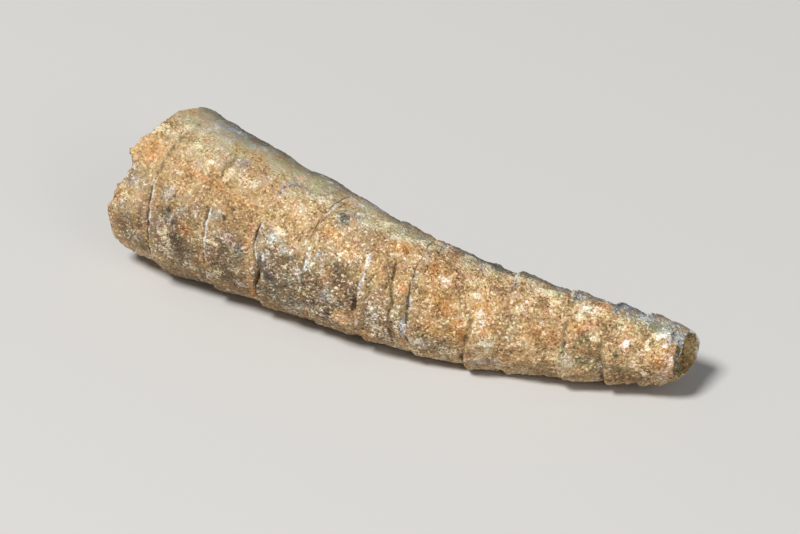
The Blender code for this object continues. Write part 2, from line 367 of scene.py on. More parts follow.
def crusted(station, angle):
    """How much of the nearest suture the crust hides, from 0 to 1."""
    degrees = np.degrees(angle)
    starts = np.array([row[0] * MM for row in SUTURES])
    nearest = np.clip(np.searchsorted(starts, station + GROOVE_WIDTH) - 1, 0, len(SUTURES) - 1)
    first = np.array([row[2] for row in SUTURES])[nearest]
    last = np.array([row[3] for row in SUTURES])[nearest]
    share = np.array([row[4] for row in SUTURES])[nearest]
    covered = between(degrees, first - CRUST_EDGE, first)
    return share * (covered * (1 - between(degrees, last - CRUST_EDGE, last)))


def rim_thick(angle):
    """1 where the narrow end's rim is thick, and 0 where it is thin."""
    degrees = np.degrees(angle)
    rise = between(degrees, RIM_FROM - RIM_FADE, RIM_FROM + RIM_FADE)
    return rise * (1 - between(degrees, RIM_TO - RIM_FADE, RIM_TO + RIM_FADE))


def near_tip(station):
    """0 along the side, and 1 at the narrow end's rim."""
    return between(station, TIP_CALM_FROM, TIP_CALM_TO)


def weather(places):
    """The worn mould, still straight, with the station and angle of each point."""
    station = places[:, 0].copy()
    radius = np.hypot(places[:, 1], places[:, 2])
    angle = np.arctan2(-places[:, 1], places[:, 2])
    mean = base_radius(np.minimum(station, LENGTH))
    side = np.clip((np.minimum(1.0, radius / mean) - FACE_SHARE) / (1 - FACE_SHARE), 0, 1)

    fade = 1 - crusted(station, angle)
    fade *= 1 + EDGE_CHIPPED * rough(places, CHIP_SIZE, (0.5, 0.0, 0.0))
    swell = SWELL_HEIGHT * rough(places, SWELL_SIZE) + LUMP_HEIGHT * rough(places, LUMP_SIZE)
    for middle, around, size, depth in HOLLOWS:
        swell -= depth * MM * patch(station, angle, middle, around, size, size)
    inner = (station > SHOULDER) & (station < LENGTH - TIP_RIM)
    radius += side * ((radius - mean) * inner * (fade - 1) + swell)

    bow = -LATERAL_LOBE * np.cos(2 * angle) + SUTURE_WANDER * rough(places, WANDER_SIZE)
    for start, far, around, spread in NEAR_LOBES:
        near = np.maximum(0.0, 1 - np.abs(station - start) / LOBE_REACH)
        bow += far * near * np.exp(-(((np.degrees(angle) - around) / spread) ** 2))
    bow += RAGGED * rough(places, RAGGED_SIZE)
    bow *= 1 - BOW_LOST * near_tip(station)
    broken = np.clip(1 - station / BREAK_REACH, 0, 1)
    outward = np.minimum(1.0, radius / RADIUS[0])
    torn = outward * np.interp(angle, BREAK_ANGLE, BREAK_BACK) + (1 - outward) * BREAK_MEAN
    torn += BREAK_ROUGHNESS * rough(places, BREAK_ROUGH_SIZE, (0.0, 0.0, 0.3))
    at_tip = np.clip(1 - (LENGTH - station) / TIP_REACH, 0, 1)
    outward = np.minimum(1.0, radius / RADIUS[-1])
    forward = outward * np.interp(angle, TIP_ANGLE, TIP_FORWARD) + (1 - outward) * TIP_MEAN
    share = np.hypot(places[:, 1], places[:, 2]) / mean
    forward -= RIM_BEVEL * rim_thick(angle) * between(share, 1 - RIM_WIDTH, 1.0)
    moved = station + side * bow * (1 - broken) + broken * torn + at_tip * forward

    dish = (station > TIP_FROM) * between(1 - share, 0.0, RIM_WIDTH)
    radius *= 1 - RIM_THICK * rim_thick(angle) * dish

    middle = radius < ON_AXIS
    worn = np.stack([moved, -radius * np.sin(angle), radius * np.cos(angle)], axis=1)
    worn[middle] = np.stack([moved, places[:, 1], places[:, 2]], axis=1)[middle]
    return worn, station, angle


def siphuncle_wall(station, share):
    """1 along the wall of the siphuncle, where it shows in the broken wide end."""
    radius = share * base_radius(np.minimum(station, LENGTH))
    ring = np.exp(-(((radius - SIPHUNCLE_RADIUS) / SIPHUNCLE_WALL) ** 2))
    return ring * (station < BREAK_TO)


def cracks(worn, angle):
    """The depth of the cracks at each point, and 1 along their lines."""
    wander = CRACK_WANDER * rough(worn, CRACK_WANDER_SIZE, (0.3, 0.0, 0.0))
    depth = np.zeros_like(angle)
    drawn = np.zeros_like(angle)
    for angles, stations, width, deep in CRACKS:
        middle = np.interp(np.degrees(angle), angles, stations) * MM
        cut = line(worn[:, 0] + wander, angle, middle, width * MM / 2, angles[0], angles[-1])
        depth += deep * MM * cut
        drawn = np.maximum(drawn, cut)
    return depth, drawn


def film(station, angle):
    """1 on the far side, where a film has smoothed the stone, and 0 on the near side."""
    covered = between(-np.degrees(angle), -FILM_FROM, -FILM_TO)
    return covered * (1 - FILM_THINS * between(station, *MIDDLE))


def fine_relief(worn, station, angle, share):
    """How far each point moves out along its normal: relief, less pits, dents and cracks."""
    crag = 1 + BREAK_CRAG * (station < SHOULDER) * (share < CRAG_SHARE)
    out = KNOB_HEIGHT * rough(worn, KNOB_SIZE)
    out += GRIT_HEIGHT * (2 * np.abs(rough(worn, GRIT_SIZE)) - 0.5)
    pitted = np.clip(rough(worn, PIT_SIZE, (0.0, 0.2, 0.0)) - PIT_LEVEL, 0, 1)
    out -= PIT_DEPTH * pitted
    plates = FLAKE_STEPS * rough(worn, FLAKE_SIZE, (0.0, 0.4, 0.0))
    run = plates - np.floor(plates)
    out += FLAKE_HEIGHT * (between(run, FLAKE_EDGE, 1.0) - run + 0.5)
    out *= 1 - FILM_CALM * film(station, angle) * between(share, FACE_SHARE, SIDE_SHARE)
    tip = station > TIP_FROM
    calm = near_tip(station) + tip * (share < SIDE_SHARE)
    out = out * crag * (1 - TIP_CALM * np.minimum(calm, 1))
    lumpy = rim_thick(angle) * tip * between(share, FACE_SHARE, RIM_LUMP_SHARE)
    out += RIM_LUMP * rough(worn, RIM_LUMP_SIZE) * lumpy
    for middle, around, along, across, depth in DENTS:
        out -= depth * MM * patch(worn[:, 0], angle, middle, around, along, across)
    out -= cracks(worn, angle)[0]
    out += SIPHUNCLE_WALL_HEIGHT * siphuncle_wall(station, share)
    return out


def bend(worn):
    """Carries the straight mould onto its spine, over the table."""
    stations = np.linspace(-2 * MM, LENGTH + 2 * MM, 400)
    step = stations[1] - stations[0]
    heading = np.interp(stations, HEADING_AT, HEADING)
    height = np.interp(stations, RADIUS_AT, RADIUS) + np.interp(stations, LIFT_AT, LIFT)
    along = np.cumsum(np.cos(heading)) * step
    across = np.cumsum(np.sin(heading)) * step
    x, y, z, turn_by = (
        np.interp(worn[:, 0], stations, column) for column in (along, across, height, heading)
    )
    return np.stack(
        [x - np.sin(turn_by) * worn[:, 1], y + np.cos(turn_by) * worn[:, 1], z + worn[:, 2]],
        axis=1,
    )


def read_places(mesh):
    places = np.empty(len(mesh.vertices) * 3)
    mesh.vertices.foreach_get("co", places)
    return places.reshape(-1, 3)


def write_places(mesh, places):
    mesh.vertices.foreach_set("co", places.ravel())
    mesh.update()


def read_normals(mesh):
    normals = np.empty(len(mesh.vertices) * 3)
    mesh.vertex_normals.foreach_get("vector", normals)
    return normals.reshape(-1, 3)


def store(mesh, name, values):
    """Keeps a value for each point, which the stone's material reads."""
    layer = mesh.attributes.new(name, "FLOAT", "POINT")
    layer.data.foreach_set("value", np.clip(values, 0, MOST_SHOWN).astype(np.float32))


# Where the stone's colours lie: station mm, angle, length mm, width mm, strength
PATCHES = {}

# Grey-brown stone that the crust has left bare
PATCHES["bare"] = [
    (16, 22, 26, 9, 0.3),
    (22.5, 84, 9, 7, 0.85),
    (2.8, 100, 3.6, 7, 0.8),
    (2.4, 58, 2.2, 3.2, 0.7),
    (8.2, 90, 6.4, 9.5, 0.95),
    (14.2, 92, 5.4, 9.5, 0.95),
    (19.5, 92, 5.4, 8.4, 1.2),
    (24.8, 96, 5.6, 6.2, 1.2),
    (26, 62, 3, 4.6, 0.9),
    (30.2, 68, 2.6, 3, 0.6),
    (29.4, 84, 2.2, 4.6, 0.9),
    (27.4, 72, 2.2, 4, 0.9),
    (30.2, 104, 5, 4.6, 0.9),
    (35.6, 106, 4.4, 3.2, 0.6),
    (20.6, 68, 2.6, 1.8, 0.8),
    (10, 140, 18, 8, 0.7),
    (28, 145, 16, 6, 0.6),
    (10, -120, 9, 7, 0.9),
    (30, -100, 9, 6, 0.8),
    (44, -130, 7, 4, 0.8),
]

# Painted shade: a dim grey-green over the side that faces away from the light, and over a few dim spots
PATCHES["shade"] = [
    (8, -51, 17, 9.8, 1.15),
    (18, -50, 12, 7.4, 1.1),
    (27, -52, 16, 5.6, 1),
    (40, -44, 14, 5.4, 1.15),
    (51.5, -40, 14, 4.4, 1.15),
    (30, -100, 44, 6, 0.5),
    (2.4, 56, 2.4, 3.4, 0.75),
    (55.8, -2, 2.4, 2.4, 0.7),
]

# Light grey stone just after a suture
PATCHES["ash"] = [
    (3, 62, 2, 2.4, 0.5),
    (2.6, 78, 1.8, 2.4, 0.6),
    (8.2, 74, 2, 2, 0.5),
    (7.2, 57, 3, 2.2, 0.68),
    (8.8, 64, 1.4, 1.4, 0.6),
    (12.7, 56, 1.5, 1.6, 0.7),
    (13.8, 66, 1.4, 1.4, 0.6),
    (18.6, 54, 2.4, 1.5, 0.8),
    (20.3, 60, 1.6, 1, 0.6),
    (23.7, 53, 2, 1.3, 0.7),
    (25.4, 86, 2, 1.4, 0.7),
    (29.6, 86, 2.4, 1.2, 0.5),
    (34, 108, 1.6, 2.4, 0.7),
    (38.9, 122, 1.8, 2.2, 0.7),
    (12, -130, 3, 2, 0.7),
    (33, -120, 3, 2, 0.7),
]

# Dull brown stain, darker down the flank, and painted shade in the hollows just before the sutures
PATCHES["umber"] = [
    (26, 44, 8, 9, 0.64),
    (31, 84, 8, 5, 0.75),
    (28.9, 70, 1.6, 6, 0.85),
    (30, 62, 1.4, 4.6, 0.7),
    (26.1, 86, 1.8, 3.6, 0.85),
    (34.2, 90, 3, 3.6, 0.95),
    (38, 60, 10, 4, 0.52),
    (18.4, 102, 3, 5, 0.85),
    (24.4, 80, 2.4, 4.6, 0.75),
    (6.4, 41, 3, 2, 0.5),
    (45.5, 62, 5, 3.4, 0.52),
    (21.4, 84, 6, 7, 0.7),
    (27, 20, 5, 5, 0.5),
    (12, 12, 12, 5, 0.4),
    (18, 2, 2.2, 1.4, 0.65),
    # Painted shade before the suture at 5.5 mm
    (4.6, 92, 1.1, 10, 0.9),
    (4.4, 56, 3.2, 4, 0.7),
    (4.6, 108, 2.4, 4, 0.95),
    (10.2, 63, 2.4, 6, 0.85),
    (15.6, 76, 1.8, 3.6, 0.95),
    (21.2, 100, 2.6, 6, 0.8),
    (24, 31, 2, 2.4, 0.55),
    # Painted shade in the hollows before the sutures
    (10.9, 100, 1, 8, 0.8),
    (15.9, 92, 1.3, 9, 1),
    (21.8, 100, 1, 5, 0.8),
    (37.6, 92, 2.2, 6, 1.1),
    (37.2, 62, 2, 2.6, 0.6),
    (45.6, 76, 2, 3, 0.65),
    (34.4, 31, 2, 2, 0.5),
    # Painted shade before the suture at 37.8 mm
    (38.2, 84, 0.6, 4.4, 1),
    (36, 112, 9, 6, 0.75),
    (46, 120, 12, 4.6, 0.7),
    (54, 120, 6, 3, 0.6),
    (8, 130, 13, 5, 0.7),
    (21, 132, 14, 4.5, 0.7),
    (31, 122, 4, 4, 0.6),
    (41.8, 64, 3.2, 3.8, 0.78),
    (26, -140, 16, 6, 0.7),
    (46, -120, 14, 4, 0.7),
]

# Orange-brown, rusty crust, and rusty-brown painted shade before the suture at 37.8 mm
PATCHES["rust"] = [
    (3.4, 34, 3.4, 3.6, 0.8),
    (3.2, -16, 1.6, 2.4, 0.6),
    (8.6, 35, 4, 1.1, 0.75),
    (11, 37, 4.6, 1.2, 0.78),
    (14.4, 38, 4.6, 1.1, 0.75),
    (11.3, 60, 0.8, 1.6, 0.7),
    (9.6, 76, 1.8, 2, 0.7),
    (16.1, 66, 1, 3, 0.7),
    (16.7, 116, 0.9, 3.6, 1),
    (20.4, 36, 2.6, 2, 0.5),
    (24, 30, 3, 1.5, 0.8),
    (26.2, 38, 2.6, 1.8, 0.7),
    (30.4, 12, 2.6, 2, 1),
    (29.4, 46, 2.6, 2.6, 0.6),
    (31.6, 52, 1.2, 1.4, 1),
    (26.5, 106, 1.4, 2.4, 1.4),
    (28.8, 118, 2, 2.4, 0.9),
    (34.6, 26, 3.4, 3, 0.85),
    (39.6, 48, 3, 6, 0.7),
    (43, 24, 2.4, 3, 0.55),
    (49.2, 31, 2, 2, 0.65),
    (53.2, 32, 2.2, 3.4, 0.6),
    (32, 16, 1.8, 2, 0.5),
    (35.6, 56, 4.6, 3.6, 0.82),
    (37.2, 84, 2.6, 4.2, 1),
    # Painted shade before the suture at 37.8 mm
    (37.9, 80, 1.3, 4.8, 1.1),
    (35, 84, 4, 3.6, 0.7),
    (38, 120, 1.2, 2.6, 1),
    (39.8, 60, 6, 4, 0.65),
    (43.4, 14, 2.6, 1.4, 0.7),
    (45.6, 60, 5, 3.4, 0.65),
    (43.4, 104, 5, 2.6, 0.6),
    (50.4, -2, 1.9, 2.2, 1.2),
    (50.6, 14, 1.8, 1.4, 0.7),
    (48.8, 38, 2.4, 2, 0.85),
    (56.6, 72, 2.4, 2.4, 0.9),
    (57.2, 48, 1.4, 1, 1),
    (46.7, -8, 0.7, 2.6, 0.9),
    (20, -90, 8, 5, 0.8),
    (48, -100, 6, 4, 0.7),
    (36, 170, 9, 5, 0.5),
]

# Yellow-green to olive-grey film
PATCHES["olive"] = [
    (7, -8, 15, 8, 0.75),
    (2.4, -34, 5, 7, 0.9),
    (12.4, -34, 5, 5, 0.85),
    (18, -12, 14, 6, 0.85),
    (28, -14, 14, 5, 0.85),
    (39, -30, 16, 3.4, 0.8),
    (48, -20, 10, 3.4, 0.75),
    (55.5, 0, 6, 4, 0.85),
    (10.4, -14, 3, 3.6, 0.9),
    (15.4, -20, 4, 3.4, 0.9),
    (18.2, -28, 3.4, 2.6, 1),
    (24.6, -18, 5.4, 2.6, 0.9),
    (28, -28, 1.8, 3, 1.1),
    (45, -6, 3.4, 1.2, 1),
    (53.6, -2, 2, 1.6, 0.9),
    (55.4, 4, 1.6, 1.6, 1.1),
    (40, -90, 6, 4, 0.8),
    (24, -130, 7, 4, 0.7),
]

# Dark olive-brown stain on the near side, and painted shade along the suture at 5.5 mm
PATCHES["moss_and_shade"] = [
    # These three paint the shade along the suture at 5.5 mm
    (5.4, 28, 0.6, 1.6, 0.6),
    (5.5, 8, 0.8, 4, 0.5),
    (5.2, 44, 0.7, 2, 0.6),
    (13.3, 55, 1, 1.4, 0.8),
    (28.7, 60, 0.8, 3.2, 0.55),
    (9.2, 33, 0.6, 0.5, 1),
    (12, 8, 2, 1, 0.5),
    (24, 30, 1.8, 2, 0.45),
    (24, 13, 2.2, 2.2, 0.8),
    (30.8, 62, 1.6, 2.4, 0.4),
    (33.5, 22, 0.8, 0.7, 1),
    (36.6, -4, 1.2, 1.2, 0.5),
    (36.4, 62, 1.8, 2, 0.7),
    (41.6, 58, 1, 2.2, 0.7),
    (42.6, 56, 1, 2.6, 0.7),
    (45.4, 70, 1, 1.4, 0.8),
    (46.1, 43, 0.9, 0.8, 0.7),
    (47.5, 44, 0.6, 1.4, 0.9),
    (47.6, 56, 0.5, 1.2, 1),
    (47.7, 74, 0.7, 2.2, 0.9),
    (49.4, 54, 2.4, 2, 0.85),
    (48.7, 66, 0.7, 2.4, 0.75),
    (50.3, 70, 0.9, 2.4, 0.72),
    (49.6, 90, 2.2, 1.6, 0.85),
    (50.4, 100, 1.6, 1.4, 0.75),
    (51.2, 62, 0.8, 1.8, 0.7),
    (51.2, 92, 1.8, 3.4, 0.75),
    (52.3, 24, 0.9, 1.4, 0.9),
    (52.9, 68, 0.9, 1.4, 0.8),
    (53, 98, 2.2, 1.6, 0.8),
    (54.3, 56, 0.8, 1.2, 0.6),
]

# Pinkish stone
PATCHES["rose"] = [
    (17.6, -6, 2.4, 1.6, 0.6),
    (24, -14, 4, 2.4, 0.6),
    (33.8, -22, 3, 2.4, 0.7),
    (36, 16, 1.4, 1.2, 0.6),
    (43.4, -2, 2.4, 1.8, 0.5),
    (50.2, -2, 2, 2.4, 0.9),
    (57.2, 68, 1.6, 2.2, 1),
    (57.5, 92, 1.2, 1.6, 0.9),
    (8.4, 78, 2.6, 2, 0.5),
    (14, 66, 2, 1.4, 0.5),
]

# Blue-grey to lilac haze along the top
PATCHES["haze"] = [
    (6.8, -24, 6, 4, 0.6),
    (9, -8, 2.4, 1.4, 0.45),
    (12.2, -18, 3, 3, 0.5),
    (12.2, 9, 1.6, 1, 0.5),
    (17.2, 12, 0.5, 2.4, 0.7),
    (18, 3, 2.6, 1.4, 0.5),
    (25.2, -6, 3, 1.6, 0.55),
    (24.2, -15, 2.4, 1.8, 0.6),
    (24.4, 0, 3.4, 1.8, 0.6),
    (23, -36, 8, 2, 0.55),
    (29.5, -20, 0.7, 3, 0.8),
    (31.4, -16, 1.8, 2, 0.6),
    (32.9, 8, 0.3, 4.4, 0.65),
    (33.6, -18, 0.6, 3.4, 0.9),
    (35.4, -28, 3.4, 1.6, 0.75),
    (37.8, -14, 0.6, 2.4, 0.9),
    (41.6, 4, 0.4, 1.8, 0.8),
    (42.5, -26, 0.6, 2.4, 0.85),
    (45, -28, 4.4, 1.6, 0.6),
    (47.4, -12, 0.5, 2.4, 0.8),
    (51.6, -24, 1.2, 3.2, 1.4),
    (52.8, -26, 1.6, 2.6, 1.1),
    (54.2, -26, 2, 2.2, 0.7),
    (49, -34, 2, 1.6, 0.6),
    (54.9, -12, 0.8, 2.2, 0.75),
    (57.6, -20, 2, 2.4, 0.9),
    (57.7, 12, 1.2, 1.8, 1),
    (56.8, 4, 0.9, 0.8, 0.8),
    (56.3, 22, 0.8, 0.8, 0.8),
    (22.8, 66, 0.6, 1.4, 0.8),
    (32.7, 44, 0.3, 2.4, 0.75),
    (32.6, 70, 0.45, 2.4, 0.8),
    (32.3, 90, 0.45, 3, 0.85),
    (32.1, 102, 0.45, 1.4, 0.95),
    (32.6, -8, 0.3, 2.6, 0.8),
    (12.1, 58, 0.7, 1.4, 0.42),
    (17.5, 58, 0.8, 2.4, 0.7),
    (27.6, 81, 0.4, 0.5, 0.9),
    (40.4, 118, 1.4, 1.4, 0.6),
    (9, -72, 8, 4, 0.5),
    (30, -64, 10, 2.4, 0.5),
    (50, -62, 8, 2.2, 0.6),
    (34, -140, 5, 3, 0.6),
]

# Cream calcite showing through
PATCHES["cream"] = [
    (33, -6, 7, 3.4, 0.46),
    (7.5, 60, 1.6, 1.4, 0.55),
    (7.6, 90, 1.8, 2.4, 0.5),
    (13.2, 100, 2.4, 3.4, 0.5),
    (21.2, 1, 2.2, 2.6, 0.5),
    (29.4, -14, 1.6, 1.6, 0.5),
    (34.5, 60, 1.8, 1.6, 0.5),
    (34.5, 8, 2, 3, 0.45),
    (45.5, 16, 1.8, 1.8, 0.62),
    (26.6, -10, 7, 3.4, 0.46),
    (24, -16, 8, 2, 0.42),
    (36, -18, 10, 2, 0.48),
    (40, -6, 8, 3, 0.52),
    (45.6, 4, 6, 3, 0.64),
    (50.6, 12, 4, 2.4, 0.54),
    (57, 66, 2.4, 2, 0.45),
    (2.6, 12, 2.2, 2.7, 0.66),
    (4.6, 6, 2.2, 2.7, 0.52),
    (6.6, 14, 2.7, 1.6, 0.54),
    (7, 40, 1.4, 0.7, 0.64),
    (9.3, 21, 1.1, 0.7, 0.71),
    (11.6, 24, 1.1, 1.9, 0.71),
    (13.6, 20, 3, 1.4, 0.62),
    (15.7, 8, 0.8, 0.7, 0.69),
    (18.7, 34, 0.7, 0.7, 0.69),
    (19.4, 46, 2.2, 1.1, 0.64),
    (22.7, 36, 0.8, 0.7, 0.69),
    (22.8, 54, 0.6, 2.2, 0.6),
    (25.1, 47, 1.1, 0.5, 0.75),
    (25.6, 43, 0.9, 0.5, 0.75),
    (24.6, -2, 0.8, 0.7, 0.67),
    (29.1, 2, 1.9, 0.7, 0.67),
    (28.1, 38, 0.5, 1.6, 0.75),
    (36.4, 12, 1.4, 0.7, 0.69),
    (35.5, 21, 0.5, 0.5, 0.71),
    (38.5, 35, 1.9, 0.5, 0.67),
    (35.7, 77, 1.1, 0.7, 0.71),
    (40, 4, 1.1, 1.1, 0.67),
    (40.2, 38, 1.1, 0.5, 0.69),
    (40.6, -30, 0.8, 1.9, 0.73),
    (42.8, 37, 1.1, 1.4, 0.64),
    (40, 84, 1.6, 0.7, 0.69),
    (42.3, 75, 1.1, 0.5, 0.66),
    (46.1, 9, 0.5, 0.8, 0.71),
    (50.4, 20, 1.6, 1.6, 0.5),
    (48.3, 16, 2.2, 2.2, 0.85),
    (54.4, 38, 2.6, 1.6, 0.45),
    (48.6, 8, 0.8, 2, 0.76),
    (49, -6, 2.2, 1.4, 0.66),
    (47.6, 12, 0.5, 1.9, 0.66),
    (50.4, 49, 1.1, 0.5, 0.73),
    (52.9, 8, 0.4, 1.4, 0.69),
    (55.5, 44, 0.9, 1.5, 0.85),
    (55.8, 28, 1.4, 1.6, 0.85),
    (56.7, 25, 0.5, 0.7, 0.73),
    (57.4, 38, 1.4, 0.8, 0.69),
    (53.4, 55, 0.7, 1.2, 0.75),
    (55.6, 103, 1.1, 0.8, 0.66),
    (23.7, 80, 0.5, 0.5, 0.69),
    (24.8, 67, 0.7, 0.5, 0.71),
    (12.9, 78, 2.2, 0.5, 0.66),
    (9.5, 73, 0.9, 0.7, 0.66),
    (2.4, 74, 1.9, 1.9, 0.66),
    (29.4, 80, 0.7, 0.5, 0.71),
    (31.4, 77, 1.4, 0.5, 0.69),
    (30, 106, 2.7, 1.6, 0.64),
    (33.6, 106, 0.8, 1.6, 0.66),
    (26, 84, 1.1, 1.4, 0.66),
    (15, -80, 5, 1.6, 0.6),
    (37, -80, 4, 1, 0.9),
    (20, 170, 6, 2, 0.6),
]

# Bare white calcite, and a painted highlight along the narrow end's far rim
PATCHES["calcite"] = [
    (28.1, 39, 0.3, 1, 1.3),
    (36, 77, 0.5, 0.4, 1),
    (31.8, 72, 0.4, 0.5, 0.9),
    (40.9, -38, 0.3, 2.4, 1),
    (48.3, 14, 0.5, 1.3, 0.75),
    (48.7, 7, 0.7, 1.3, 0.9),
    (49.3, 0, 0.6, 1.2, 0.75),
    (53.4, 52, 0.6, 1, 0.8),
    (55.5, 40, 0.6, 1.6, 1),
    (56.2, 26, 0.7, 0.8, 0.8),
    (56.6, 22, 0.4, 0.5, 1),
    (57.2, 42, 0.5, 0.5, 0.8),
    (55.6, 104, 0.7, 0.5, 0.8),
    (54.8, -34, 0.5, 1, 1),
    # These three paint a highlight along the far rim
    (59, -40, 0.5, 1.2, 1.4),
    (59.3, -74, 0.35, 2, 1),
    (59.4, -104, 0.4, 1, 1.1),
]

# Dark spots and stains, darker down the flank, and painted shade in the dents, chips and holes
PATCHES["dark"] = [
    (20.2, 92, 5, 6, 0.52),
    (15.6, 76, 1.6, 3, 0.46),
    (21.4, 100, 2.6, 5, 0.48),
    (4.6, 108, 2, 4, 0.42),
    (25.6, 86, 4, 3, 0.42),
    (24, 8.5, 0.7, 0.6, 1),
    (24.1, 11, 0.5, 0.5, 0.85),
    (24.45, 8, 0.5, 0.45, 0.85),
    (24.6, 12.5, 0.9, 0.5, 0.7),
    (27.8, 86, 0.42, 1.5, 1.25),
    (27.95, 61, 0.35, 0.5, 1.3),
    (27.8, 76, 0.35, 0.5, 0.9),
    (9.2, 33, 0.4, 0.3, 1),
    (13.2, 55, 0.7, 0.9, 0.8),
    (13.9, 47, 0.8, 0.5, 0.8),
    (7.7, 66, 0.6, 1.5, 0.9),
    (8.3, 76, 0.5, 1.2, 0.8),
    (11.7, 60, 0.25, 0.6, 1),
    (17.95, 88, 0.5, 1.6, 1.4),
    (19.4, 88, 1.6, 1.8, 0.8),
    (20.8, 66, 1.4, 0.9, 0.7),
    (22.9, 106, 1.2, 1.2, 1),
    (22.8, 80, 1.2, 1.4, 0.7),
    (18.2, 82, 1.6, 3, 0.62),
    (25.6, 56, 1.2, 1, 0.7),
    (33.7, -1, 0.5, 0.4, 1.2),
    (33.4, 21, 0.5, 0.3, 1.1),
    (42.6, 93, 0.4, 0.4, 1.2),
    (47.8, 66, 0.4, 0.5, 1),
    (51.6, 25, 0.3, 0.6, 1.1),
    (52.9, 71, 0.4, 0.3, 1),
    (48.7, 118, 0.8, 1, 0.7),
    (51.2, 125, 0.4, 1.6, 1.2),
    (51.5, -26, 0.8, 2, 1.2),
    (57.5, 14, 0.3, 1.2, 1),
    (26, -80, 1.4, 1, 1),
    (12, -100, 1.2, 1.6, 0.9),
]

# Pale arcs of the narrow rim, those on the far rim a painted highlight: from which share of the radius
# to which, the angles, strength
LIPS = [
    (0.95, 1.02, -12, 32, 0.85),
    (0.938, 0.96, 40, 62, 0.6),
    (0.934, 0.956, 68, 98, 0.7),
    (0.93, 0.95, 114, 126, 0.6),
    (0.99, 1.02, 44, 70, 0.35),
    # These two paint a highlight along the far rim
    (0.935, 1.03, -62, -20, 1.2),
    (0.93, 1.03, -125, -62, 0.8),
]
LIP_FADE = 0.02  # share of the radius over which an arc fades out
LIP_SHARE = 0.99  # beyond this share only the rim itself has arcs, and not the side
SIPHUNCLE_PALE = 0.8

WARP_SIZE, WARP = 1.3 * MM, 0.35 * MM  # how the patches' outlines wander
MOST_SHOWN = 1.5  # the strongest that a colour is stored

# A crest lies after its suture and a crease before it, by this share of its width
CREST_AFTER, CREASE_AFTER = 0.45, -0.5
BROKEN_SIZE = 1.5 * MM  # such lines are broken up in stretches of this size
BROKEN_FROM, BROKEN_TO = -0.35, 0.15
LINE_LEAST = 0.45  # how much of a line is left where it is broken
# How dark the cracks are painted, as painted shade in them
CRACK_SHADE = 1.2

# How coarse the stone's pattern is: on crust, how much more on bare stone, and how much less under
# the film. Between the two stations of a row it grows, and BARE_GAIN times as much on bare stone.
COARSE, BARE_COARSER, FILM_FINER = 0.45, 0.12, 0.5
COARSER = ((14 * MM, 22 * MM, 0.15), (*MIDDLE, 0.06))
BARE_GAIN = 2.4

# The dish's dark inside, painted shade, ends between two shares of the radius, and smaller ones on its
# low side
DISH_ENDS = (0.985, 1.0)
LOW_SIDE = (98, 128)
LOW_ENDS = (0.88, 0.95)
# Its far wall and lower wall are painted paler, as painted light, from these distances off the axis.
# The painted light on the far one dims upwards.
FAR_WALL = (0.5 * MM, 1.9 * MM)
FAR_DIMS, FAR_DIM = (0.0, 1.4 * MM), 0.7
LOWER_WALL, LOWER_PALE = (0.5 * MM, 1.6 * MM), 0.9

# The broken face's fresh stone is painted paler, partly as painted light where that face lies in shade
BREAK_SHOWN = 1.1  # the broken face's fresh stone, which fades out between two shares
BREAK_FADES = (0.70, 1.02)


def colour_zone(rows, station, angle):
    """How much of a colour shows at each point, from its patches."""
    shown = np.zeros_like(station)
    for middle, around, length, width, strength in rows:
        oval = patch(station, angle, middle, around, length, width)
        shown = np.maximum(shown, strength * oval)
    return shown


def suture_lines(rows, after, worn, station, angle, side):
    """How much of the crests or creases shows at each point, in broken lines."""
    shown = np.zeros_like(station)
    for number, width, strength, first, last in rows:
        centre = (SUTURES[number][0] + after * width) * MM
        drawn = line(station, angle, centre, width * MM / 2, first, last)
        shown = np.maximum(shown, strength * drawn)
    whole = between(rough(worn, BROKEN_SIZE, (0.0, after, 0.0)), BROKEN_FROM, BROKEN_TO)
    return shown * side * (LINE_LEAST + (1 - LINE_LEAST) * whole)


def bore(station, share):
    """True in the siphuncle's bore, at the middle of the broken wide end."""
    return (station < BREAK_TO) & (share * base_radius(station) < BORE_RADIUS)


def coarseness(station, angle, side, bare):
    """How coarse the stone's pattern is at each point."""
    gain = np.zeros_like(station)
    for first, last, more in COARSER:
        gain = gain + more * between(station, first, last)
    stone = COARSE + gain + (BARE_COARSER + BARE_GAIN * gain) * np.minimum(bare, 1)
    return stone - FILM_FINER * film(station, angle) * side


def dish_shade_zone(station, angle, share):
    """How much of the dish's dark inside, painted shade, shows at each point."""
    low = between(np.degrees(angle), *LOW_SIDE) * between(share, *LOW_ENDS)
    return (station > TIP_FROM) * (1 - between(share, *DISH_ENDS)) * (1 - low)


def painted_wall_light(worn):
    """How far each point of the dish is on its walls that are painted paler, as painted light."""
    far = between(worn[:, 1], *FAR_WALL) * (1 - FAR_DIM * between(worn[:, 2], *FAR_DIMS))
    return np.maximum(far, LOWER_PALE * between(-worn[:, 2], *LOWER_WALL))


def lip_and_rim_highlight_zone(station, angle, share):
    """How pale the siphuncle's wall and the arcs of the narrow end's rim are at each point. On the far
    rim the arcs are a painted highlight.
    """
    shown = siphuncle_wall(station, share) * SIPHUNCLE_PALE
    face = (station > TIP_FROM) * ((share < LIP_SHARE) | (station > LENGTH - TIP_RIM))
    for inner, outer, first, last, strength in LIPS:
        ring = face * between(share, inner - LIP_FADE, inner)
        ring = ring * (1 - between(share, outer, outer + LIP_FADE))
        shown = shown + strength * ring * turned(angle, first, last)
    return shown


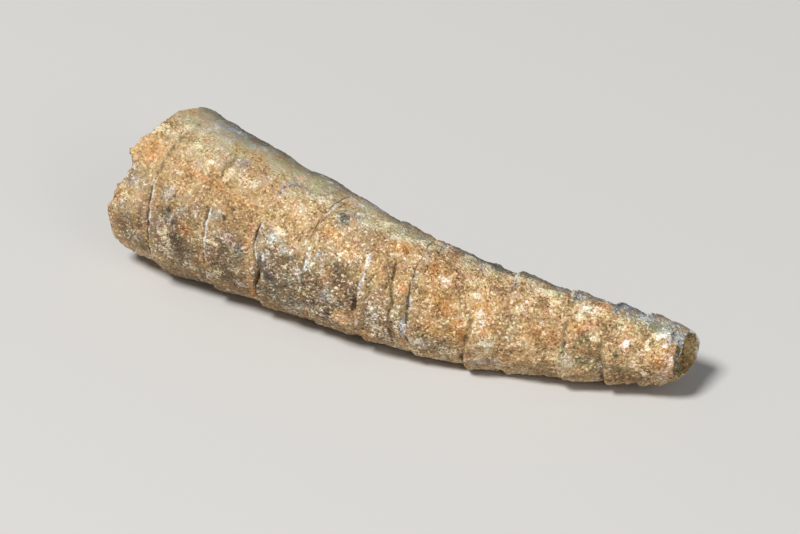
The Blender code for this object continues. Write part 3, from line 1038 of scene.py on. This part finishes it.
def store_zones(mesh, worn, station, angle, share):
    """Stores where each of the stone's colours lies, and how coarse its pattern is."""
    across = WARP * rough(worn, WARP_SIZE, (0.0, 0.7, 0.0)) / base_radius(station)
    along = WARP * rough(worn, WARP_SIZE, (0.0, 0.0, 0.7))
    side = between(share, FACE_SHARE, SIDE_SHARE)
    for name, rows in PATCHES.items():
        shown = colour_zone(rows, worn[:, 0] + along, angle + across)
        if name == "bare":
            store(mesh, "coarse", coarseness(station, angle, side, shown))
        shown = shown * side
        # The siphuncle's bore is painted fully dark, as painted shade in the hole
        if name == "dark":
            shown[bore(station, share)] = 1.0
        store(mesh, name, shown)
    # The crests are white calcite with a painted highlight where the edges catch the light
    crests = suture_lines(CRESTS, CREST_AFTER, worn, station, angle, side)
    store(mesh, "crest", crests)
    # Painted shade in the creases before the sutures and in the cracks
    creases = suture_lines(CREASE_SHADES, CREASE_AFTER, worn, station, angle, side)
    store(mesh, "crease", np.maximum(creases, CRACK_SHADE * cracks(worn, angle)[1]))
    # Painted shade inside the narrow end's dish
    inside = dish_shade_zone(station, angle, share)
    store(mesh, "dish", inside)
    # Painted light on the dish's far and lower walls
    store(mesh, "wall", inside * painted_wall_light(worn))
    store(mesh, "lip", lip_and_rim_highlight_zone(station, angle, share))
    fresh_and_painted_light = BREAK_SHOWN - BREAK_SHOWN * between(share, *BREAK_FADES)
    store(mesh, "break", (station < BREAK_TO) * fresh_and_painted_light)


def mould():
    """The fossil's one piece, with the places of its colours stored on it."""
    piece = straight_mould()
    mesh = piece.data
    straight = read_places(mesh)
    worn, station, angle = weather(straight)
    share = np.hypot(straight[:, 1], straight[:, 2]) / base_radius(np.minimum(station, LENGTH))
    write_places(mesh, worn)
    out = fine_relief(worn, station, angle, share)
    worn = worn + read_normals(mesh) * out[:, None]
    places = bend(worn)
    places[:, 2] = np.maximum(places[:, 2], 0.0)
    middle = (places.min(axis=0) + places.max(axis=0)) / 2
    places[:, :2] -= middle[:2]
    write_places(mesh, places)
    store_zones(mesh, worn, station, angle, share)
    mesh.shade_smooth()
    return piece


def add(tree, kind, inputs=None, stops=(), **settings):
    """Adds a shader node with its settings. An input is a value, or the output that feeds it."""
    node = tree.nodes.new("ShaderNode" + kind)
    for name, value in settings.items():
        setattr(node, name, value)
    for name, value in (inputs or {}).items():
        if isinstance(value, bpy.types.NodeSocket):
            tree.links.new(value, node.inputs[name])
        else:
            node.inputs[name].default_value = value
    for index, (position, code) in enumerate(stops):
        band = node.color_ramp.elements
        stop = band[index] if index < 2 else band.new(1.0)
        stop.position = position
        stop.color = hex_colour(code)
    return node


# Limestone: sizes of its patterns. Real grains run down to 0.1 mm; the finest here are 0.2 mm, so
# that they show.
SHAKE_SIZE, SHAKE = 0.5 * MM, 0.25 * MM  # how the grains' outlines wander
STAIN_SIZE = 6.0 * MM
BLOTCH_SIZE = 1.7 * MM
GRAIN_SIZE = 0.27 * MM
CRYSTAL_SIZE = 0.20 * MM
VEIN_SIZE, VEIN_CURL, VEIN_THIN, VEIN = 1.1 * MM, 0.6, 0.022, 0.18
VEINED_FROM, VEINED_TO = 0.50, 0.62  # veins show where the blotches are pale
TINT_SIZE, TINT = 1.3 * MM, 0.40  # how far red, green and blue stray from each other
GRAIN_RELIEF = 0.22 * MM
CRYSTAL_RELIEF = 0.4  # how domed the crystals are beside the grain
LEAST_BUMP = 0.35  # how much of the relief is left where the stone is finest

# Dark tones are dull and pale ones shinier: the roughness at two tones, and between them
DULL_TONE, DULL = 0.45, 0.80
SHINY_TONE, SHINY = 0.85, 0.45
IOR = 1.5

# Greys of the crystals: a few are dark, most alike, some white
CRYSTALS = (
    (0.0, "5C5C5C"),
    (0.07, "ACACAC"),
    (0.2, "B8B8B8"),
    (0.7, "BCBCBC"),
    (0.85, "DCDCDC"),
    (1.0, "FFFFFF"),
)
# How much each pattern swings the tone, where the stone is fine and where it is coarse
SWINGS = (
    ("stain", 0.5, 0.6),
    ("blotch", 0.6, 1.1),
    ("grain", 0.45, 1.2),
    ("crystal", 0.25, 0.85),
)
MEAN_TONE = 0.465
# How much two of them fray the edges of the colours, and the level at which a colour is half there
FRAYS = (("blotch", 1.6), ("grain", 1.1))
HALF_THERE = 0.52

TONES = (0.10, 0.32, 0.50, 0.66, 0.82, 0.96)
CRUST = "64482C 9A7850 C8A473 DEC092 F3E0BC FFF6E2"
# Name, how softly its edge fades, how much it covers, and its colours from its dark to its pale tones
STONES = [
    ("olive", 0.9, 0.95, "4A4834 868262 B2AA86 CCC49E E6DCBE F8F4E4"),
    # shade: painted shade on the side facing away from the light
    ("shade", 1.0, 0.9, "2C2C26 4A4A42 68675E 86857C B2B0A8 DEDCD4"),
    ("bare", 0.4, 1.0, "30261A 62503A 887254 B0987A E0CEB0 FFF6E4"),
    # moss: olive-brown stain, and painted shade along the first suture
    ("moss_and_shade", 0.6, 0.95, "2A2414 584E30 7C7048 A09268 CABE98 ECE4C6"),
    # umber: brown stain, with painted shade before the sutures
    ("umber", 0.7, 0.9, "34281A 645036 8A7250 B09874 D8C4A0 F4E8CC"),
    ("rose", 0.9, 0.9, "5E3A2A 9C705A C69A80 DEB89E F2D8C6 FFF2E8"),
    ("rust", 0.7, 0.9, "5A3414 9C6630 C48E50 DCAC70 F0D09C FFEED0"),
    ("ash", 0.7, 0.9, "5A5246 8A8274 AEA698 C6C0B4 E2DED4 FFFCF4"),
    ("haze", 0.9, 0.85, "262E3C 566070 848C96 AAB0B6 D2D8DE F8FAFF"),
    ("cream", 0.5, 0.85, "A08058 DCC090 F2DCAE FAECC8 FFF8E4 FFFEF6"),
    # break: fresh stone, painted paler as painted light on the shaded broken face
    ("break", 0.8, 1.0, "4A3A28 927A58 C0A67E DCC49C F0E0C0 FFF8E6"),
    # dark: dark spots and stains, and painted shade in the dents and holes
    ("dark", 0.6, 0.95, "16150F 2A2822 403C34 58544A 726C60 989080"),
    # crease: painted shade in the creases and cracks
    ("crease", 0.5, 0.9, "1E160C 3E2E1A 5E4A2E 7C6440 A08660 C8B088"),
    # crest: white calcite with a painted highlight on the chambers' edges
    ("crest", 0.5, 0.9, "746E60 A8A498 CCCAC0 E6E6E0 F6F8F6 FFFFFF"),
    # dish: painted shade inside the narrow end's dish
    ("dish", 0.3, 1.0, "2C261A 50452F 766746 948258 B8A97E D2C7A8"),
    # wall: painted light on the dish's walls
    ("wall", 0.6, 0.9, "7A5E34 AC8C56 D4B078 E8CC94 F4E0B8 FAF0D8"),
    # lip: pale stone, and a painted highlight on the far rim
    ("lip", 0.6, 0.85, "4E4E4C 807F7C A6A6A2 C4C6C4 E4E8E8 FFFFFF"),
    # calcite: white calcite, and the painted highlight on the far rim
    ("calcite", 0.5, 0.95, "C4B08C ECDCBC FAF2DE FFFAF0 FFFFFA FFFFFF"),
]


def limestone():
    """Recrystallised limestone: ochre crust over bare grey-brown stone, all of fine calcite.

    It gives the eye a dry, matt, mottled brown with a fine speckle. Pale calcite shines a little,
    and dark stone is dull.
    """
    material = bpy.data.materials.new("recrystallised_limestone")
    material.use_nodes = True
    tree = material.node_tree
    shader = tree.nodes["Principled BSDF"]
    place = add(tree, "TexCoord").outputs["Object"]
    shake = add(tree, "TexNoise", {"Vector": place, "Scale": 1 / SHAKE_SIZE, "Detail": 1.0})
    shaken = add(
        tree,
        "VectorMath",
        {0: shake.outputs["Color"], 1: (SHAKE,) * 3, 2: place},
        operation="MULTIPLY_ADD",
    ).outputs[0]
    clouds = {}
    for name, where, size, detail, roughness in (
        ("stain", place, STAIN_SIZE, 3.0, 0.6),
        ("blotch", place, BLOTCH_SIZE, 4.0, 0.6),
        ("grain", shaken, GRAIN_SIZE, 2.0, 0.7),
        ("tint", place, TINT_SIZE, 3.0, 0.7),
    ):
        clouds[name] = add(
            tree,
            "TexNoise",
            {"Vector": where, "Scale": 1 / size, "Detail": detail, "Roughness": roughness},
        )
    crystals = add(tree, "TexVoronoi", {"Vector": shaken, "Scale": 1 / CRYSTAL_SIZE})
    choice = add(tree, "SeparateColor", {"Color": crystals.outputs["Color"]}).outputs[0]
    clouds["crystal"] = add(tree, "ValToRGB", {"Fac": choice}, stops=CRYSTALS)

    coarse = add(tree, "Attribute", attribute_name="coarse").outputs["Fac"]
    swings = {}
    tone = MEAN_TONE
    for name, least, most in SWINGS:
        cloud = clouds[name].outputs[0]
        swing = add(tree, "Math", {0: cloud, 1: 0.5}, operation="SUBTRACT").outputs[0]
        weight = add(tree, "MapRange", {"Value": coarse, "To Min": least, "To Max": most}).outputs[0]
        tone = add(tree, "Math", {0: swing, 1: weight, 2: tone}, operation="MULTIPLY_ADD").outputs[0]
        swings[name] = swing
    veins = add(
        tree,
        "TexNoise",
        {"Vector": shaken, "Scale": 1 / VEIN_SIZE, "Detail": 1.0, "Distortion": VEIN_CURL},
    ).outputs["Fac"]
    off = add(tree, "Math", {0: veins, 1: 0.5}, operation="SUBTRACT").outputs[0]
    off = add(tree, "Math", {0: off}, operation="ABSOLUTE").outputs[0]
    thin = add(
        tree, "MapRange", {"Value": off, "From Max": VEIN_THIN, "To Min": 1.0, "To Max": 0.0}
    ).outputs["Result"]
    veined = add(
        tree,
        "MapRange",
        {"Value": clouds["blotch"].outputs[0], "From Min": VEINED_FROM, "From Max": VEINED_TO},
    ).outputs["Result"]
    veined = add(tree, "Math", {0: thin, 1: veined}, operation="MULTIPLY").outputs[0]
    tone = add(tree, "Math", {0: veined, 1: VEIN, 2: tone}, operation="MULTIPLY_ADD").outputs[0]

    ragged = 0.0
    for name, weight in FRAYS:
        ragged = add(
            tree, "Math", {0: swings[name], 1: weight, 2: ragged}, operation="MULTIPLY_ADD"
        ).outputs[0]

    colour = add(tree, "ValToRGB", {"Fac": tone}, stops=tuple(zip(TONES, CRUST.split()))).outputs[0]
    for name, softness, cover, shades in STONES:
        zone = add(tree, "Attribute", attribute_name=name).outputs["Fac"]
        lifted = add(tree, "Math", {0: zone, 1: ragged}, operation="ADD").outputs[0]
        here = add(
            tree,
            "MapRange",
            {
                "Value": lifted,
                "From Min": HALF_THERE - softness / 2,
                "From Max": HALF_THERE + softness / 2,
                "To Max": cover,
            },
            interpolation_type="SMOOTHSTEP",
        ).outputs["Result"]
        stops = tuple(zip(TONES, shades.split()))
        shade = add(tree, "ValToRGB", {"Fac": tone}, stops=stops).outputs["Color"]
        colour = add(tree, "Mix", {0: here, 6: colour, 7: shade}, data_type="RGBA").outputs[2]
    tint = add(
        tree,
        "VectorMath",
        {0: clouds["tint"].outputs["Color"], 1: (TINT,) * 3, 2: (1 - TINT / 2,) * 3},
        operation="MULTIPLY_ADD",
    ).outputs[0]
    colour = add(tree, "VectorMath", {0: colour, 1: tint}, operation="MULTIPLY").outputs[0]
    tree.links.new(colour, shader.inputs["Base Color"])

    roughness = add(
        tree,
        "MapRange",
        {"Value": tone, "From Min": DULL_TONE, "From Max": SHINY_TONE, "To Min": DULL, "To Max": SHINY},
    ).outputs["Result"]
    tree.links.new(roughness, shader.inputs["Roughness"])
    shader.inputs["IOR"].default_value = IOR
    height = add(
        tree,
        "Math",
        {0: crystals.outputs["Distance"], 1: -CRYSTAL_RELIEF, 2: clouds["grain"].outputs[0]},
        operation="MULTIPLY_ADD",
    ).outputs[0]
    strength = add(
        tree, "MapRange", {"Value": coarse, "From Max": COARSE, "To Min": LEAST_BUMP}
    ).outputs["Result"]
    bump = add(tree, "Bump", {"Height": height, "Distance": GRAIN_RELIEF, "Strength": strength})
    tree.links.new(bump.outputs["Normal"], shader.inputs["Normal"])
    return material


def direction(azimuth, elevation):
    """The way from the fossil towards a place at this azimuth and elevation, in degrees."""
    a, e = math.radians(azimuth), math.radians(elevation)
    return Vector((math.sin(a) * math.cos(e), -math.cos(a) * math.cos(e), math.sin(e)))


FLOOR_SIZE = 4.0
FLOOR_COLOUR = "C9C7C3"
# Soft round lamps: name, azimuth, elevation, distance, diameter and power
LAMPS = (
    ("key_light", -20, 58, 1.2, 0.32, 15.5),
    ("fill_light", 60, 35, 1.2, 0.60, 2.0),
)
SKY_COLOUR, SKY_STRENGTH = "E6E9EE", 0.24
CAMERA_TARGET = Vector((-4.53 * MM, 8.0 * MM, 0.0))
CAMERA_AZIMUTH, CAMERA_ELEVATION = 27.55, 34.8
CAMERA_DISTANCE = 0.5
CAMERA_LENS, CAMERA_SENSOR = 225.0, 36.0
CAMERA_CLIP = 0.01


def studio():
    """A plain pale floor, soft lights and the camera."""
    bpy.ops.object.select_all(action="DESELECT")
    bpy.ops.mesh.primitive_plane_add(size=FLOOR_SIZE, location=(0.0, 0.0, 0.0))
    floor = bpy.context.object
    floor.name = "studio_floor"
    # Pale paper: an even, matt ground
    paper = bpy.data.materials.new("pale_paper")
    paper.use_nodes = True
    shader = paper.node_tree.nodes["Principled BSDF"]
    shader.inputs["Base Color"].default_value = hex_colour(FLOOR_COLOUR)
    shader.inputs["Roughness"].default_value = 0.9
    floor.data.materials.append(paper)

    for name, azimuth, elevation, distance, size, power in LAMPS:
        lamp = bpy.data.lights.new(name, "AREA")
        lamp.shape = "DISK"
        lamp.size = size
        lamp.energy = power
        light = bpy.data.objects.new(name, lamp)
        light.location = direction(azimuth, elevation) * distance
        light.rotation_euler = (-light.location).to_track_quat("-Z", "Y").to_euler()
        bpy.context.scene.collection.objects.link(light)

    world = bpy.context.scene.world or bpy.data.worlds.new("studio")
    bpy.context.scene.world = world
    world.use_nodes = True
    sky = world.node_tree.nodes["Background"]
    sky.inputs["Color"].default_value = hex_colour(SKY_COLOUR)
    sky.inputs["Strength"].default_value = SKY_STRENGTH

    camera = bpy.data.cameras.new("camera")
    camera.sensor_width = CAMERA_SENSOR
    camera.lens = CAMERA_LENS
    camera.clip_start = CAMERA_CLIP
    holder = bpy.data.objects.new("camera", camera)
    back = direction(CAMERA_AZIMUTH, CAMERA_ELEVATION)
    holder.location = CAMERA_TARGET + back * CAMERA_DISTANCE
    holder.rotation_euler = back.to_track_quat("Z", "Y").to_euler()
    bpy.context.scene.collection.objects.link(holder)
    bpy.context.scene.camera = holder
    bpy.context.scene.view_settings.view_transform = "Standard"


piece = mould()
piece.data.materials.append(limestone())
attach(piece, "root")
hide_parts("orthoceras")
studio()
